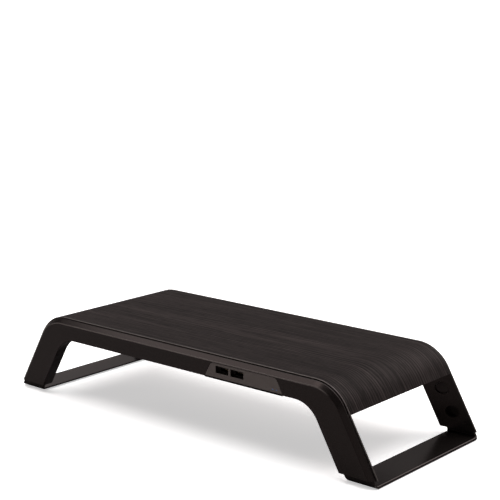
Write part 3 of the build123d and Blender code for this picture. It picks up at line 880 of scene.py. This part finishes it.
keptNodes = {
    "rib_grid": "inner_plastic", "under_cover": "inner_plastic",
    "hub_tray": "inner_plastic", "hub_lid": "inner_plastic",
    "cover_screws": "screw_steel", "rail_screws": "screw_steel", "hub_screws": "screw_steel",
    "hub_board": "board_green", "left_port_shell": "port_steel", "right_port_shell": "port_steel",
    "left_port_insulator": "insulator_plastic", "right_port_insulator": "insulator_plastic",
    "port_contacts": "contact_brass", "board_components": "component_black", "inlet_socket": "port_steel",
    "light_pipes": "clear_plastic", "status_lights": "blue_light",
}
for corner in ("front_right", "front_left", "rear_right", "rear_left"):
    keptNodes[corner + "_foot_pad"] = "pad_rubber"
    keptNodes[corner + "_button_cup"] = "button_plastic"
    keptNodes[corner + "_button_spring"] = "spring_steel"
for nodeName, finishName in keptNodes.items():
    for materialSlot in nodes[nodeName].material_slots:
        materialSlot.material = finishes[finishName]
print("CAD nodes finished:", len(keptNodes))

# each leaf spring gets a mesh of its own
for endName, side in (("front", 1), ("rear", -1)):
    for sideName in ("right", "left"):
        corner = endName + "_" + sideName
        leaf = nodes[corner + "_button_spring"]
        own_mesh(leaf)

# floor, light and camera

studio = {
    "floorSize": 130.0, "floorColour": (0.93, 0.93, 0.93),
    "floorInGloss": (0.29, 0.272, 0.266), "floorGlow": 0.5,
    "worldColour": (1.0, 0.90, 0.885), "lampColour": (1.0, 0.92, 0.90),
    "worldStrength": 0.085, "glowStrength": 0.28, "glowFrom": (-0.85, 0.50, 0.12), "glowPower": 6.0,
    "backdropStrength": 1.0, "sunStrength": 3.2, "sunWidth": 70.0, "sunFrom": (-0.06, 0.14, 1.0),
}
lamps = {
    # where it stands, what it looks at, its width and height, its power
    "chamferBox": ((-1.45, -0.82, 1.85), (0.0, -0.12, 0.1), 1.1, 0.8, 6.0),
    "cornerBox": ((-0.70, -1.02, 2.05), (0.2, -0.12, 0.1), 0.5, 0.5, 2.6),
    "ridgeBox": ((-1.6, -1.7, 1.0), (0.0, -0.12, 0.1), 0.5, 0.6, 2.0),
    "shoulderBox": ((0.9, 1.9, 1.5), (0.25, 0.0, 0.05), 1.9, 1.5, 24.0),
    "legBox": ((1.90, -2.05, 0.80), (0.28, -0.12, 0.05), 1.1, 0.85, 0.9),
    "rearChamferBox": ((1.45, 0.82, 1.85), (0.0, 0.12, 0.1), 1.1, 0.8, 4.0),
    "rearTopBox": ((0.0, 1.3, 2.3), (0.0, 0.12, 0.1), 1.6, 0.6, 5.0),
}
eye = {
    "place": (1.15121, -1.33348, 0.59146), "azimuth": 40.197, "pitch": 11.564, "roll": 0.153, "lens": 94.30,
}


def buildFloor():
    # a flat grid of squares
    side = np.linspace(-studio["floorSize"] / 2, studio["floorSize"] / 2, 9)
    x, y = np.meshgrid(side, side)
    points = np.stack([x.ravel(), y.ravel(), np.zeros(x.size)], 1)
    index = np.arange(x.size).reshape(x.shape)
    faces = np.stack([index[:-1, :-1], index[:-1, 1:], index[1:, 1:], index[1:, :-1]], -1).reshape(-1, 4)
    mesh = bpy.data.meshes.new("floor")
    mesh.from_pydata(points.tolist(), [], faces.tolist())
    floor = bpy.data.objects.new("floor", mesh)
    bpy.context.scene.collection.objects.link(floor)
    recipe = Recipe("paleFloor")
    grain = recipe.noise(recipe.coords, 60.0, 3.0)
    recipe.link(recipe.spread(grain, 0.3, 0.7, 0.6, 0.7), recipe.shader.inputs["Roughness"])
    recipe.set(specular=0.2)
    # a light table: it glows a little to the camera only, which keeps the shadow faint,
    # and gloss sees it darker, as if grey cards lay around the stand
    rays = recipe.add("ShaderNodeLightPath")
    seen = recipe.tint(rays.outputs["Is Glossy Ray"], studio["floorColour"], studio["floorInGloss"])
    recipe.link(seen, recipe.shader.inputs["Base Color"])
    glow = recipe.maths("MULTIPLY", rays.outputs["Is Camera Ray"], studio["floorGlow"])
    recipe.link(glow, recipe.shader.inputs["Emission Strength"])
    recipe.shader.inputs["Emission Color"].default_value = (1, 1, 1, 1)
    mesh.materials.append(recipe.material)


def addLamps():
    sun = bpy.data.lights.new("softSun", "SUN")
    sun.energy, sun.angle = studio["sunStrength"], math.radians(studio["sunWidth"])
    lamp = bpy.data.objects.new("softSun", sun)
    lamp.rotation_euler = Vector(studio["sunFrom"]).to_track_quat("Z", "Y").to_euler()
    bpy.context.scene.collection.objects.link(lamp)
    for name, (place, target, wide, tall, power) in lamps.items():
        data = bpy.data.lights.new(name, "AREA")
        data.shape, data.size, data.size_y, data.energy = "RECTANGLE", wide, tall, power
        data.color = studio["lampColour"]
        lamp = bpy.data.objects.new(name, data)
        lamp.location = place
        lamp.rotation_euler = (Vector(place) - Vector(target)).to_track_quat("Z", "Y").to_euler()
        bpy.context.scene.collection.objects.link(lamp)


def addCamera():
    azimuth, pitch, roll = (math.radians(eye[k]) for k in ("azimuth", "pitch", "roll"))
    level = math.cos(pitch)
    behind = Vector((math.sin(azimuth) * level, -math.cos(azimuth) * level, math.sin(pitch)))
    right = Vector((math.cos(azimuth), math.sin(azimuth), 0))
    up = behind.cross(right)
    sideways = right * math.cos(roll) + up * math.sin(roll)
    upwards = up * math.cos(roll) - right * math.sin(roll)
    data = bpy.data.cameras.new("camera")
    data.sensor_width, data.lens, data.clip_end = 36.0, eye["lens"], 200.0
    camera = bpy.data.objects.new("camera", data)
    turn = Matrix((sideways, upwards, behind)).transposed().to_4x4()
    camera.matrix_world = Matrix.Translation(eye["place"]) @ turn
    bpy.context.scene.collection.objects.link(camera)
    bpy.context.scene.camera = camera


def buildWorld():
    # a white backdrop, and a dimmer even light from all round
    world = bpy.data.worlds.new("studio")
    bpy.context.scene.world = world
    world.use_nodes = True
    tree = world.node_tree
    ambient = tree.nodes["Background"]
    ambient.inputs["Color"].default_value = (*studio["worldColour"], 1)
    toGlow = tree.nodes.new("ShaderNodeVectorMath")
    toGlow.operation = "DOT_PRODUCT"
    toGlow.inputs[1].default_value = Vector(studio["glowFrom"]).normalized()
    tree.links.new(tree.nodes.new("ShaderNodeTexCoord").outputs["Generated"], toGlow.inputs[0])
    steps = [tree.nodes.new("ShaderNodeMath") for _ in range(3)]
    steps[0].operation, steps[1].operation, steps[2].operation = "MAXIMUM", "POWER", "MULTIPLY_ADD"
    tree.links.new(toGlow.outputs["Value"], steps[0].inputs[0])
    tree.links.new(steps[0].outputs[0], steps[1].inputs[0])
    tree.links.new(steps[1].outputs[0], steps[2].inputs[0])
    steps[0].inputs[1].default_value = 0.0
    steps[1].inputs[1].default_value = studio["glowPower"]
    steps[2].inputs[1].default_value = studio["glowStrength"]
    steps[2].inputs[2].default_value = studio["worldStrength"]
    tree.links.new(steps[2].outputs[0], ambient.inputs["Strength"])
    backdrop = tree.nodes.new("ShaderNodeBackground")
    backdrop.inputs["Color"].default_value = (1, 1, 1, 1)
    backdrop.inputs["Strength"].default_value = studio["backdropStrength"]
    rays, blend = tree.nodes.new("ShaderNodeLightPath"), tree.nodes.new("ShaderNodeMixShader")
    tree.links.new(rays.outputs["Is Camera Ray"], blend.inputs[0])
    tree.links.new(ambient.outputs[0], blend.inputs[1])
    tree.links.new(backdrop.outputs[0], blend.inputs[2])
    tree.links.new(blend.outputs[0], tree.nodes["World Output"].inputs["Surface"])


buildWorld()
bpy.context.scene.view_settings.view_transform = "Standard"
buildFloor()
addLamps()
addCamera()
print("studio made")
